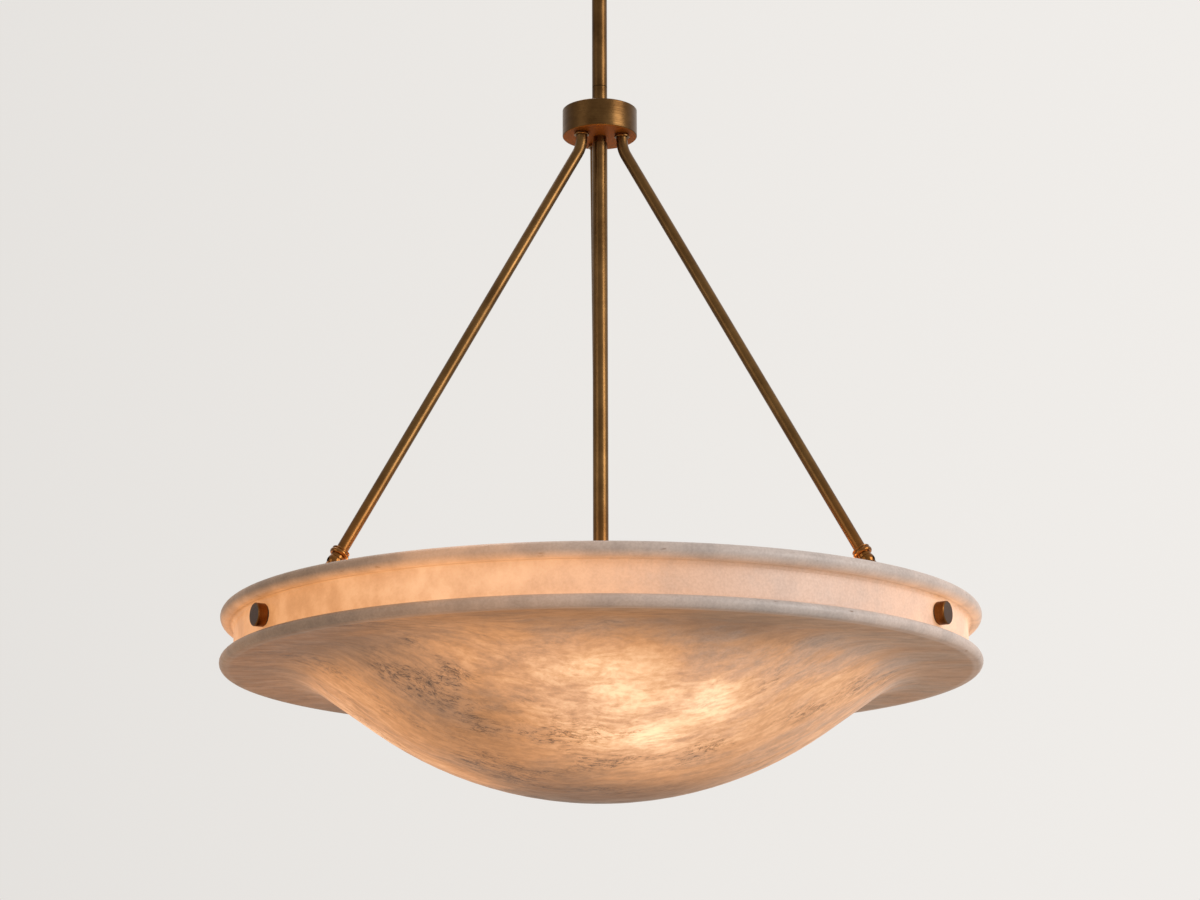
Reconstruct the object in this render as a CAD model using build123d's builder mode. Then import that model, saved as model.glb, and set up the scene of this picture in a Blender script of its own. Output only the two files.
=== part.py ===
from build123d import *
import os
from math import asin, atan2, cos, degrees, radians, sin, sqrt, tan

os.makedirs("parts", exist_ok=True)

# Alabaster bowl pendant: a turned stone bowl hung by three brass arms from a hub, a stem and a swivel.
# Millimetres. The origin is the centre of the ceiling plane, where the crossbar is screwed to the
# ceiling; +Z is up, so the whole lamp hangs below z = 0. Azimuth 0 is +X, the front is -Y.

# ------------------------------------------------------------------ driving dimensions
# ceiling fitting
crossbar_width = 20
crossbar_end = 4.5
crossbar_thickness = 2.5
box_screw_spacing = 88.9
box_slot_length = 14
box_slot_width = 5.2
ground_screw_diameter = 4
ground_screw_head = 9
ground_screw_head_height = 3.4
ground_screw_offset = 24
canopy_diameter = 127
canopy_depth = 24
canopy_wall = 1.6
canopy_edge_radius = 7
canopy_ring_diameter = 26
canopy_ring_height = 6

# threaded pipe, used as nipples throughout
pipe_diameter = 10
pipe_bore = 6
nut_across_flats = 14
nut_height = 4

# hang-straight swivel
swivel_diameter = 20
swivel_cap_height = 6
swivel_spigot_depth = 3
swivel_cavity_diameter = 16
nipple_head_diameter = 14
nipple_head_thickness = 2.4
swivel_floor = 4
swivel_slot = 7
swivel_eye_radius = 7.5
swivel_flat_width = 17
swivel_pin_diameter = 5
swivel_pin_head = 9
swivel_pin_head_height = 1.2
tongue_collar_height = 12
tongue_foot_diameter = 15

# stem, hub and centre tube
tube_diameter = 12.7
stem_length = 152.4
coupler_length = 21
coupler_chamfer = 0.5
hub_diameter = 62.5
hub_height = 23.5
hub_wall = 2.5
hub_floor = 3
hub_edge_chamfer = 0.8
hub_lid_thickness = 1.6
hub_lid_spigot = 2.5
tube_neck_diameter = 11.3
tube_neck_height = 4.7
pipe_engagement = 9

# arms and knuckles
hub_twist = 10
arm_diameter = 9.5
arm_wall = 1
arm_offset = 19.7
arm_stub_drop = 12.5
arm_bend_radius = 30
arm_thread_reach = 1.5
arm_nut_across_flats = 13
ferrule_diameter = 12.8
ferrule_neck_diameter = 11
ferrule_neck_height = 1.2
ferrule_flange_height = 1.5
knuckle_inset = 44.4
knuckle_rise = 22
knuckle_ball_radius = 6.3
knuckle_neck_radius = 5.6
knuckle_slot = 3.4
knuckle_pin_diameter = 3
knuckle_spigot_length = 12
bracket_thickness = 3
bracket_eye_radius = 4.6
collar_seat = 5.5
collar_barrel_length = 3.6
collar_barrel_radius = 7.8
collar_groove_length = 0.4
collar_groove_radius = 6.8
collar_bead_length = 1.3
collar_bead_radius = 7.3

# alabaster bowl
bowl_diameter = 610
top_flange_thickness = 12
neck_height = 26
low_flange_thickness = 10
neck_recess = 11
neck_wall = 13
neck_fillet = 2.5
rim_edge_radius = 3
brim_width = 41.5
cove_radius = 60
dish_slope = 35
dish_depth = 100.6
dish_wall = 10
floor_fillet = 4
hub_to_rim = 409

# rim bolts and brackets
rim_bolt_diameter = 6
rim_bolt_head = 18
rim_bolt_head_height = 7.6
rim_bolt_edge = 0.7
rim_bolt_hole = 7.5
outer_gasket = 1.2
inner_gasket = 2
gasket_diameter = 16
foot_thickness = 5
foot_width = 18
foot_height = 20
foot_corner = 3
gusset_depth = 5
foot_web = 1

# lamp cluster, holders and bulbs
bulb_to_dish = 12
cluster_diameter = 46
cluster_height = 28
cluster_wall = 2.5
cluster_edge_radius = 3
cluster_cap_thickness = 2
cluster_cap_rise = 5
cluster_cap_spigot = 4
holder_gap = 3
holder_neck_diameter = 17
holder_neck_length = 6
holder_diameter = 34
holder_length = 46
holder_mouth_depth = 27
holder_edge = 1.5
port_pipe_reach = 9
bulb_base_diameter = 26.4
bulb_base_length = 24
bulb_base_wall = 1
bulb_contact_diameter = 9
bulb_contact_height = 2
bulb_radius = 30
bulb_neck_radius = 11.8
bulb_neck_length = 12
bulb_length = 104
bulb_wall = 1.2

# clearances
thread_gap = 0.1  # radial, around threaded and spigoted fits
running_gap = 0.05  # radial, around a shaft that turns
turn_gap = 0.3  # axial, between pieces that turn against each other
slot_gap = 0.2  # each side of a tongue in its fork

arm_azimuths = {"left": 210, "right": 330, "rear": 90}
lamp_azimuths = {"front": 300, "back": 60, "side": 180}

# ------------------------------------------------------------------ levels, from the ceiling down
canopy_bottom_z = -canopy_depth
ring_bottom_z = canopy_bottom_z - canopy_ring_height
cap_top_z = ring_bottom_z - turn_gap
fork_top_z = cap_top_z - swivel_cap_height
head_top_z = fork_top_z - swivel_spigot_depth - turn_gap
head_bottom_z = head_top_z - nipple_head_thickness
cavity_floor_z = head_bottom_z - turn_gap
slot_top_z = cavity_floor_z - swivel_floor
pin_z = slot_top_z - turn_gap - swivel_eye_radius
shoulder_z = pin_z - swivel_diameter / 2 - turn_gap
stem_top_z = shoulder_z - tongue_collar_height
stem_bottom_z = stem_top_z - stem_length
hub_top_z = stem_bottom_z - coupler_length
hub_bottom_z = hub_top_z - hub_height
tube_top_z = hub_bottom_z - tube_neck_height
rim_z = hub_bottom_z - hub_to_rim
brim_top_z = rim_z - top_flange_thickness - neck_height
brim_bottom_z = brim_top_z - low_flange_thickness
bowl_bottom_z = brim_bottom_z - dish_depth
bolt_z = rim_z - top_flange_thickness - neck_height / 2
knuckle_z = rim_z + knuckle_rise

# ------------------------------------------------------------------ shared radii
pipe_radius = pipe_diameter / 2
pipe_hole = pipe_radius + thread_gap
tube_radius = tube_diameter / 2
arm_radius = arm_diameter / 2
arm_hole = arm_radius + thread_gap
bowl_radius = bowl_diameter / 2
neck_radius = bowl_radius - neck_recess
inner_radius = neck_radius - neck_wall
knuckle_radius = inner_radius - knuckle_inset
foot_face_radius = inner_radius - inner_gasket
foot_back_radius = foot_face_radius - foot_thickness
head_back_radius = neck_radius + outer_gasket
cluster_radius = cluster_diameter / 2
holder_back = cluster_radius + holder_gap
holder_front = holder_back + holder_neck_length + holder_length
base_radius = bulb_base_diameter / 2
mouth_back = holder_front - holder_mouth_depth
base_back = mouth_back + bulb_contact_height
base_front = base_back + bulb_base_length
globe_centre = mouth_back + bulb_length - bulb_radius

# ------------------------------------------------------------------ the dish, and the lamps that hang in it
# The dish is a sphere that runs out into a cone and then, through the hollow cove, up to the brim.
# The bulbs hang as low as their room above its inside allows.
slope = radians(dish_slope)
cove_start = bowl_radius - brim_width
cove_centre_z = brim_bottom_z - cove_radius
cove_end = (cove_start - cove_radius * sin(slope), cove_centre_z + cove_radius * cos(slope))
dish_radius = (cove_end[0] * tan(slope) - (cove_end[1] - bowl_bottom_z)) / (1 / cos(slope) - 1)
dish_centre_z = bowl_bottom_z + dish_radius

lamp_reach = dish_radius - dish_wall - bulb_to_dish - bulb_radius
lamp_z = dish_centre_z - sqrt(lamp_reach**2 - globe_centre**2)
cluster_top_z = lamp_z + cluster_height / 2
cluster_bottom_z = lamp_z - cluster_height / 2


# ------------------------------------------------------------------ planes and helpers
def on_dish(radius, angle):
    """A point of the spherical dish, at this angle from straight down."""
    return (radius * sin(angle), dish_centre_z - radius * cos(angle))


def on_cove(radius, angle):
    """A point of the cove between dish and brim, at this angle from straight up."""
    return (cove_start - radius * sin(angle), cove_centre_z + radius * cos(angle))


def radial_plane(azimuth, radius=0.0, z=0.0):
    """Upright plane through the axis: local x runs outwards, local y runs up."""
    a = radians(azimuth)
    return Plane(
        origin=(radius * cos(a), radius * sin(a), z),
        x_dir=(cos(a), sin(a), 0),
        z_dir=(sin(a), -cos(a), 0),
    )


def facing_plane(azimuth, radius, z):
    """Upright plane square to a radius: local x runs sideways, local y up, and the normal outwards."""
    a = radians(azimuth)
    return Plane(
        origin=(radius * cos(a), radius * sin(a), z),
        x_dir=(-sin(a), cos(a), 0),
        z_dir=(cos(a), sin(a), 0),
    )


def radial_axis(azimuth, z):
    a = radians(azimuth)
    return Axis((0, 0, z), (cos(a), sin(a), 0))


def finish(piece, name):
    piece.part.label = name
    export_step(piece.part, f"parts/{name}.step")


class ArmRoute:
    """Where one arm runs: down from the hub, round a bend, and straight to its knuckle."""

    def __init__(self, azimuth):
        turned = radians(azimuth + hub_twist)
        a = radians(azimuth)
        stub = Vector(arm_offset * cos(turned), arm_offset * sin(turned), 0)
        level = Vector(knuckle_radius * cos(a), knuckle_radius * sin(a), 0) - stub
        outwards = level.normalized()
        self.stub = stub
        self.reach = level.length
        self.bend_z = hub_bottom_z - arm_stub_drop
        self.plane = Plane(origin=stub, x_dir=outwards, z_dir=outwards.cross(Vector(0, 0, 1)))
        slope_length = sqrt(self.reach**2 + (self.bend_z - knuckle_z) ** 2)
        self.along = (self.reach / slope_length, (knuckle_z - self.bend_z) / slope_length)
        self.lean = degrees(asin(self.along[0]))
        self.knuckle = stub + level + Vector(0, 0, knuckle_z)
        self.up_arm = -(outwards * self.along[0] + Vector(0, 0, self.along[1]))
        self.knuckle_plane = Plane(
            origin=self.knuckle,
            x_dir=self.up_arm.cross(self.plane.z_dir),
            z_dir=self.plane.z_dir,
        )
        self.axis = Axis(self.knuckle, self.up_arm)

    def point(self, distance):
        """A point on the arm's straight run, this far up from the knuckle, in the arm's plane."""
        return (self.reach - distance * self.along[0], knuckle_z - distance * self.along[1])


# ------------------------------------------------------------------ ceiling fitting
with BuildPart() as crossbar:
    with BuildSketch():
        RectangleRounded(
            box_screw_spacing + box_slot_length + 2 * crossbar_end,
            crossbar_width,
            crossbar_end,
        )
        Circle(pipe_hole, mode=Mode.SUBTRACT)
        with Locations((-box_screw_spacing / 2, 0), (box_screw_spacing / 2, 0)):
            SlotOverall(box_slot_length, box_slot_width, mode=Mode.SUBTRACT)
        with Locations((ground_screw_offset, 0)):
            Circle(ground_screw_diameter / 2 + thread_gap, mode=Mode.SUBTRACT)
    extrude(amount=-crossbar_thickness)
finish(crossbar, "crossbar")

with BuildPart() as ground_screw:
    with BuildSketch():
        with Locations((ground_screw_offset, 0)):
            Circle(ground_screw_diameter / 2)
    extrude(amount=-crossbar_thickness)
    with BuildSketch(Plane.XY.offset(-crossbar_thickness)):
        with Locations((ground_screw_offset, 0)):
            RegularPolygon(ground_screw_head / 2, 6, major_radius=False)
    extrude(amount=-ground_screw_head_height)
    chamfer(ground_screw.edges().group_by(Axis.Z)[0], ground_screw_head_height / 8)
finish(ground_screw, "ground_screw")

with BuildPart() as canopy:
    with BuildSketch():
        Circle(canopy_diameter / 2)
    extrude(amount=-canopy_depth)
    fillet(canopy.edges().group_by(Axis.Z)[0], canopy_edge_radius)
    offset(amount=-canopy_wall, openings=canopy.faces().sort_by(Axis.Z)[-1])
    with BuildSketch(Plane.XY.offset(canopy_bottom_z)):
        Circle(pipe_hole)
    extrude(amount=canopy_wall, mode=Mode.SUBTRACT)
finish(canopy, "canopy")

with BuildPart() as canopy_nipple:
    with BuildSketch():
        Circle(pipe_radius)
    extrude(amount=head_top_z)
    with BuildSketch(Plane.XY.offset(head_top_z)):
        Circle(nipple_head_diameter / 2)
    extrude(amount=-nipple_head_thickness)
    with BuildSketch():
        Circle(pipe_bore / 2)
    extrude(amount=head_bottom_z, mode=Mode.SUBTRACT)
finish(canopy_nipple, "canopy_nipple")


def hex_nut(across_flats, hole_radius):
    """A hexagonal nut's outline with its hole, drawn in the current sketch."""
    RegularPolygon(across_flats / 2, 6, major_radius=False)
    Circle(hole_radius, mode=Mode.SUBTRACT)


with BuildPart() as nipple_locknut:
    with BuildSketch(Plane.XY.offset(-crossbar_thickness)):
        hex_nut(nut_across_flats, pipe_hole)
    extrude(amount=-nut_height)
finish(nipple_locknut, "nipple_locknut")

with BuildPart() as canopy_ring:
    with BuildSketch(Plane.XY.offset(canopy_bottom_z)):
        Circle(canopy_ring_diameter / 2)
        Circle(pipe_hole, mode=Mode.SUBTRACT)
    extrude(amount=-canopy_ring_height)
    rims = canopy_ring.edges().filter_by(GeomType.CIRCLE).sort_by(SortBy.RADIUS)[-2:]
    fillet(rims, canopy_ring_height / 5)
finish(canopy_ring, "canopy_ring")

# ------------------------------------------------------------------ hang-straight swivel
with BuildPart() as swivel_cap:
    with BuildSketch(Plane.XY.offset(cap_top_z)):
        Circle(swivel_diameter / 2)
    extrude(amount=-swivel_cap_height)
    chamfer(swivel_cap.edges().group_by(Axis.Z)[-1], swivel_cap_height / 5)
    with BuildSketch(Plane.XY.offset(fork_top_z)):
        Circle(swivel_cavity_diameter / 2 - thread_gap)
    extrude(amount=-swivel_spigot_depth)
    with BuildSketch(Plane.XY.offset(cap_top_z)):
        Circle(pipe_radius + running_gap)
    extrude(amount=-swivel_cap_height - swivel_spigot_depth, mode=Mode.SUBTRACT)
finish(swivel_cap, "swivel_cap")

with BuildPart() as swivel_fork:
    with BuildSketch(Plane.XY.offset(fork_top_z)):
        Circle(swivel_diameter / 2)
    extrude(amount=pin_z - swivel_diameter / 2 - fork_top_z)
    with BuildSketch(Plane.XY.offset(fork_top_z)):
        Circle(swivel_cavity_diameter / 2)
    extrude(amount=cavity_floor_z - fork_top_z, mode=Mode.SUBTRACT)
    # the cheeks: rounded below the pin, flat outside, and slotted for the tongue
    with BuildSketch(Plane.YZ):
        with Locations((0, (fork_top_z + pin_z) / 2)):
            Rectangle(swivel_diameter, fork_top_z - pin_z)
        with Locations((0, pin_z)):
            Circle(swivel_diameter / 2)
    extrude(amount=swivel_diameter / 2, both=True, mode=Mode.INTERSECT)
    with BuildSketch(Plane.XY.offset(slot_top_z)):
        Rectangle(swivel_slot, swivel_diameter)
        for side in (-1, 1):
            with Locations((side * swivel_diameter / 2, 0)):
                Rectangle(swivel_diameter - swivel_flat_width, swivel_diameter)
    extrude(amount=pin_z - swivel_diameter - slot_top_z, mode=Mode.SUBTRACT)
    with BuildSketch(Plane.YZ):
        with Locations((0, pin_z)):
            Circle(swivel_pin_diameter / 2 + thread_gap)
    extrude(amount=swivel_diameter, both=True, mode=Mode.SUBTRACT)
finish(swivel_fork, "swivel_fork")

with BuildPart() as swivel_pin:
    with BuildSketch(Plane.YZ):
        with Locations((0, pin_z)):
            Circle(swivel_pin_diameter / 2)
    extrude(amount=swivel_flat_width / 2, both=True)
    for side in (-1, 1):
        with BuildSketch(Plane.YZ.offset(side * swivel_flat_width / 2)):
            with Locations((0, pin_z)):
                Circle(swivel_pin_head / 2)
        extrude(amount=side * swivel_pin_head_height)
    ends = swivel_pin.edges().group_by(Axis.X)
    chamfer(ends[0] + ends[-1], swivel_pin_head_height / 2)
finish(swivel_pin, "swivel_pin")

with BuildPart() as swivel_tongue:
    with BuildSketch(Plane.YZ):
        with Locations((0, pin_z)):
            Circle(swivel_eye_radius)
        with Locations((0, (pin_z + shoulder_z) / 2)):
            Rectangle(2 * swivel_eye_radius, pin_z - shoulder_z)
        with Locations((0, pin_z)):
            Circle(swivel_pin_diameter / 2 + running_gap, mode=Mode.SUBTRACT)
    extrude(amount=swivel_slot / 2 - slot_gap, both=True)
    with BuildSketch(Plane.XZ):
        with BuildLine():
            Polyline(
                (0, shoulder_z),
                (swivel_diameter / 2, shoulder_z),
                (swivel_diameter / 2, shoulder_z - tongue_collar_height / 2),
                (tongue_foot_diameter / 2, stem_top_z),
                (pipe_radius, stem_top_z),
                (pipe_radius, stem_top_z - pipe_engagement),
                (0, stem_top_z - pipe_engagement),
                close=True,
            )
        make_face()
    revolve(axis=Axis.Z)
finish(swivel_tongue, "swivel_tongue")

# ------------------------------------------------------------------ stem, hub and centre tube
with BuildPart() as stem:
    with BuildSketch(Plane.XY.offset(stem_bottom_z)):
        Circle(tube_radius)
        Circle(pipe_hole, mode=Mode.SUBTRACT)
    extrude(amount=stem_length)
finish(stem, "stem")

with BuildPart() as stem_coupler:
    with BuildSketch(Plane.XY.offset(hub_top_z)):
        Circle(tube_radius)
        Circle(pipe_hole, mode=Mode.SUBTRACT)
    extrude(amount=coupler_length)
    rims = stem_coupler.edges().filter_by(GeomType.CIRCLE).sort_by(SortBy.RADIUS)[-2:]
    chamfer(rims, coupler_chamfer)
finish(stem_coupler, "stem_coupler")

with BuildPart() as stem_nipple:
    with BuildSketch(Plane.XY.offset(stem_bottom_z + pipe_engagement)):
        Circle(pipe_radius)
        Circle(pipe_bore / 2, mode=Mode.SUBTRACT)
    extrude(amount=-pipe_engagement - coupler_length / 2 + turn_gap)
finish(stem_nipple, "stem_nipple")

with BuildPart() as hub_nipple:
    with BuildSketch(Plane.XY.offset(tube_top_z - pipe_engagement)):
        Circle(pipe_radius)
        Circle(pipe_bore / 2, mode=Mode.SUBTRACT)
    extrude(amount=hub_top_z + coupler_length / 2 - turn_gap - tube_top_z + pipe_engagement)
finish(hub_nipple, "hub_nipple")

hub_radius = hub_diameter / 2
hub_inner = hub_radius - hub_wall
cup_top_z = hub_top_z - hub_lid_thickness
arm_turns = [azimuth + hub_twist for azimuth in arm_azimuths.values()]

with BuildPart() as hub_cup:
    with BuildSketch(Plane.XY.offset(hub_bottom_z)):
        Circle(hub_radius)
    extrude(amount=cup_top_z - hub_bottom_z)
    chamfer(hub_cup.edges().group_by(Axis.Z)[0], hub_edge_chamfer)
    with BuildSketch(Plane.XY.offset(hub_bottom_z + hub_floor)):
        Circle(hub_inner)
    extrude(amount=hub_height, mode=Mode.SUBTRACT)
    with BuildSketch(Plane.XY.offset(hub_bottom_z)):
        Circle(pipe_hole)
        with PolarLocations(arm_offset, len(arm_turns), start_angle=arm_turns[0]):
            Circle(arm_hole)
    extrude(amount=hub_floor, mode=Mode.SUBTRACT)
finish(hub_cup, "hub_cup")

with BuildPart() as hub_lid:
    with BuildSketch(Plane.XY.offset(cup_top_z)):
        Circle(hub_radius)
    extrude(amount=hub_lid_thickness)
    chamfer(hub_lid.edges().group_by(Axis.Z)[-1], hub_edge_chamfer / 2)
    with BuildSketch(Plane.XY.offset(cup_top_z)):
        Circle(hub_inner - thread_gap)
        Circle(hub_inner - hub_lid_spigot, mode=Mode.SUBTRACT)
    extrude(amount=-hub_lid_spigot)
    with BuildSketch(Plane.XY.offset(cup_top_z)):
        Circle(pipe_hole)
    extrude(amount=hub_lid_thickness, mode=Mode.SUBTRACT)
finish(hub_lid, "hub_lid")

with BuildPart() as hub_locknut:
    with BuildSketch(Plane.XY.offset(hub_bottom_z + hub_floor)):
        hex_nut(nut_across_flats, pipe_hole)
    extrude(amount=nut_height)
finish(hub_locknut, "hub_locknut")

with BuildPart() as arm_nuts:
    with BuildSketch(Plane.XY.offset(hub_bottom_z + hub_floor)):
        with PolarLocations(arm_offset, len(arm_turns), start_angle=arm_turns[0]):
            hex_nut(arm_nut_across_flats, arm_hole)
    extrude(amount=nut_height)
finish(arm_nuts, "arm_nuts")

with BuildPart() as arm_ferrules:
    with BuildSketch(Plane.XY.offset(hub_bottom_z)):
        with PolarLocations(arm_offset, len(arm_turns), start_angle=arm_turns[0]):
            Circle(ferrule_neck_diameter / 2)
            Circle(arm_hole, mode=Mode.SUBTRACT)
    extrude(amount=-ferrule_neck_height)
    with BuildSketch(Plane.XY.offset(hub_bottom_z - ferrule_neck_height)):
        with PolarLocations(arm_offset, len(arm_turns), start_angle=arm_turns[0]):
            Circle(ferrule_diameter / 2)
            Circle(arm_hole, mode=Mode.SUBTRACT)
    extrude(amount=-ferrule_flange_height)
    flange_edges = arm_ferrules.edges().filter_by(GeomType.CIRCLE).group_by(SortBy.RADIUS)[-1]
    chamfer(flange_edges, ferrule_flange_height / 4)
finish(arm_ferrules, "arm_ferrules")

with BuildPart() as tube_neck:
    with BuildSketch(Plane.XY.offset(tube_top_z)):
        Circle(tube_neck_diameter / 2)
        Circle(pipe_hole, mode=Mode.SUBTRACT)
    extrude(amount=tube_neck_height)
finish(tube_neck, "tube_neck")

with BuildPart() as centre_tube:
    with BuildSketch(Plane.XY.offset(cluster_top_z)):
        Circle(tube_radius)
        Circle(pipe_hole, mode=Mode.SUBTRACT)
    extrude(amount=tube_top_z - cluster_top_z)
    rims = centre_tube.edges().filter_by(GeomType.CIRCLE).sort_by(SortBy.RADIUS)[-2:]
    chamfer(rims, coupler_chamfer)
finish(centre_tube, "centre_tube")

# ------------------------------------------------------------------ arms and their lower ends
collar_top = collar_seat + collar_barrel_length + collar_groove_length + collar_bead_length
tube_end = collar_seat + collar_barrel_length / 3

for side, azimuth in arm_azimuths.items():
    route = ArmRoute(azimuth)

    with BuildPart() as arm:
        thread_top_z = hub_bottom_z + hub_floor + nut_height + arm_thread_reach
        with BuildLine(route.plane) as centreline:
            FilletPolyline(
                (0, thread_top_z),
                (0, route.bend_z),
                route.point(tube_end),
                radius=arm_bend_radius,
            )
        with BuildSketch(Plane(origin=route.stub + Vector(0, 0, thread_top_z), z_dir=(0, 0, -1))):
            Circle(arm_radius)
            Circle(arm_radius - arm_wall, mode=Mode.SUBTRACT)
        sweep(path=centreline.wires()[0])
    finish(arm, f"arm_{side}")

    with BuildPart() as collar:
        barrel_top = collar_seat + collar_barrel_length
        bead_bottom = barrel_top + collar_groove_length
        with BuildSketch(route.knuckle_plane):
            with BuildLine():
                Line((arm_hole, collar_top), (collar_groove_radius, collar_top))
                ThreePointArc(
                    (collar_groove_radius, collar_top),
                    (collar_bead_radius, bead_bottom + collar_bead_length / 2),
                    (collar_groove_radius, bead_bottom),
                )
                Line((collar_groove_radius, bead_bottom), (collar_groove_radius, barrel_top))
                ThreePointArc(
                    (collar_groove_radius, barrel_top),
                    (collar_barrel_radius, collar_seat + collar_barrel_length / 2),
                    (collar_groove_radius, collar_seat),
                )
                Polyline(
                    (collar_groove_radius, collar_seat),
                    (arm_radius - arm_wall, collar_seat),
                    (arm_radius - arm_wall, tube_end),
                    (arm_hole, tube_end),
                    (arm_hole, collar_top),
                )
            make_face()
        revolve(axis=route.axis)
    finish(collar, f"arm_collar_{side}")

    eye_plane = radial_plane(azimuth, knuckle_radius, knuckle_z)
    with BuildPart() as fork:
        spigot_radius = arm_radius - arm_wall - thread_gap
        with BuildSketch(route.knuckle_plane):
            with BuildLine():
                neck_y = sqrt(knuckle_ball_radius**2 - knuckle_neck_radius**2)
                Polyline(
                    (0, -knuckle_ball_radius),
                    (0, collar_seat + knuckle_spigot_length),
                    (spigot_radius, collar_seat + knuckle_spigot_length),
                    (spigot_radius, collar_seat),
                    (knuckle_neck_radius, collar_seat),
                    (knuckle_neck_radius, neck_y),
                )
                ThreePointArc(
                    (knuckle_neck_radius, neck_y),
                    (knuckle_ball_radius, 0),
                    (0, -knuckle_ball_radius),
                )
            make_face()
        revolve(axis=route.axis)
        with BuildSketch(eye_plane):
            Circle(bracket_eye_radius + slot_gap)
            Rectangle(
                4 * knuckle_ball_radius,
                2 * knuckle_ball_radius,
                rotation=route.lean,
                align=(Align.CENTER, Align.MAX),
            )
        extrude(amount=knuckle_slot / 2, both=True, mode=Mode.SUBTRACT)
        with BuildSketch(eye_plane):
            Circle(knuckle_pin_diameter / 2 + thread_gap)
        extrude(amount=knuckle_ball_radius, both=True, mode=Mode.SUBTRACT)
    finish(fork, f"knuckle_fork_{side}")

    with BuildPart() as bracket:
        foot_drop = knuckle_z - bolt_z
        foot_reach = foot_back_radius - knuckle_radius
        with BuildSketch(eye_plane):
            Circle(bracket_eye_radius)
            with Locations((foot_reach - gusset_depth / 2, -foot_drop)):
                Rectangle(gusset_depth, foot_height)
            make_hull()
            Circle(knuckle_pin_diameter / 2 + thread_gap, mode=Mode.SUBTRACT)
        extrude(amount=bracket_thickness / 2, both=True)
        with BuildSketch(facing_plane(azimuth, foot_back_radius, bolt_z)):
            RectangleRounded(foot_width, foot_height, foot_corner)
        extrude(amount=foot_thickness)
        with BuildSketch(facing_plane(azimuth, foot_face_radius, bolt_z)):
            Circle(rim_bolt_diameter / 2 + thread_gap)
        extrude(amount=foot_web - foot_thickness, mode=Mode.SUBTRACT)
    finish(bracket, f"rim_bracket_{side}")

    with BuildPart() as rim_bolt:
        with BuildSketch(facing_plane(azimuth, head_back_radius, bolt_z)):
            Circle(rim_bolt_head / 2)
        extrude(amount=rim_bolt_head_height)
        outer_edge = rim_bolt.edges().sort_by(radial_axis(azimuth, bolt_z))[-1]
        chamfer(outer_edge, rim_bolt_edge)
        with BuildSketch(facing_plane(azimuth, head_back_radius, bolt_z)):
            Circle(rim_bolt_diameter / 2)
        extrude(amount=foot_back_radius + foot_web + slot_gap - head_back_radius)
    finish(rim_bolt, f"rim_bolt_{side}")

with BuildPart() as knuckle_pins:
    for azimuth in arm_azimuths.values():
        with BuildSketch(radial_plane(azimuth, knuckle_radius, knuckle_z)):
            Circle(knuckle_pin_diameter / 2)
        extrude(amount=sqrt(knuckle_ball_radius**2 - (knuckle_pin_diameter / 2) ** 2), both=True)
finish(knuckle_pins, "knuckle_pins")

with BuildPart() as inner_gaskets:
    for azimuth in arm_azimuths.values():
        with BuildSketch(facing_plane(azimuth, foot_face_radius, bolt_z)):
            Circle(gasket_diameter / 2)
            Circle(rim_bolt_hole / 2, mode=Mode.SUBTRACT)
        extrude(amount=neck_wall / 2)
    with BuildSketch(Plane.XY.offset(bolt_z - gasket_diameter)):
        Circle(inner_radius)
    extrude(amount=2 * gasket_diameter, mode=Mode.INTERSECT)
finish(inner_gaskets, "inner_gaskets")

with BuildPart() as outer_gaskets:
    for azimuth in arm_azimuths.values():
        with BuildSketch(facing_plane(azimuth, head_back_radius, bolt_z)):
            Circle(gasket_diameter / 2)
            Circle(rim_bolt_hole / 2, mode=Mode.SUBTRACT)
        extrude(amount=-neck_wall / 2)
    with BuildSketch(Plane.XY.offset(bolt_z - gasket_diameter)):
        Circle(neck_radius)
    extrude(amount=2 * gasket_diameter, mode=Mode.SUBTRACT)
finish(outer_gaskets, "outer_gaskets")

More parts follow.
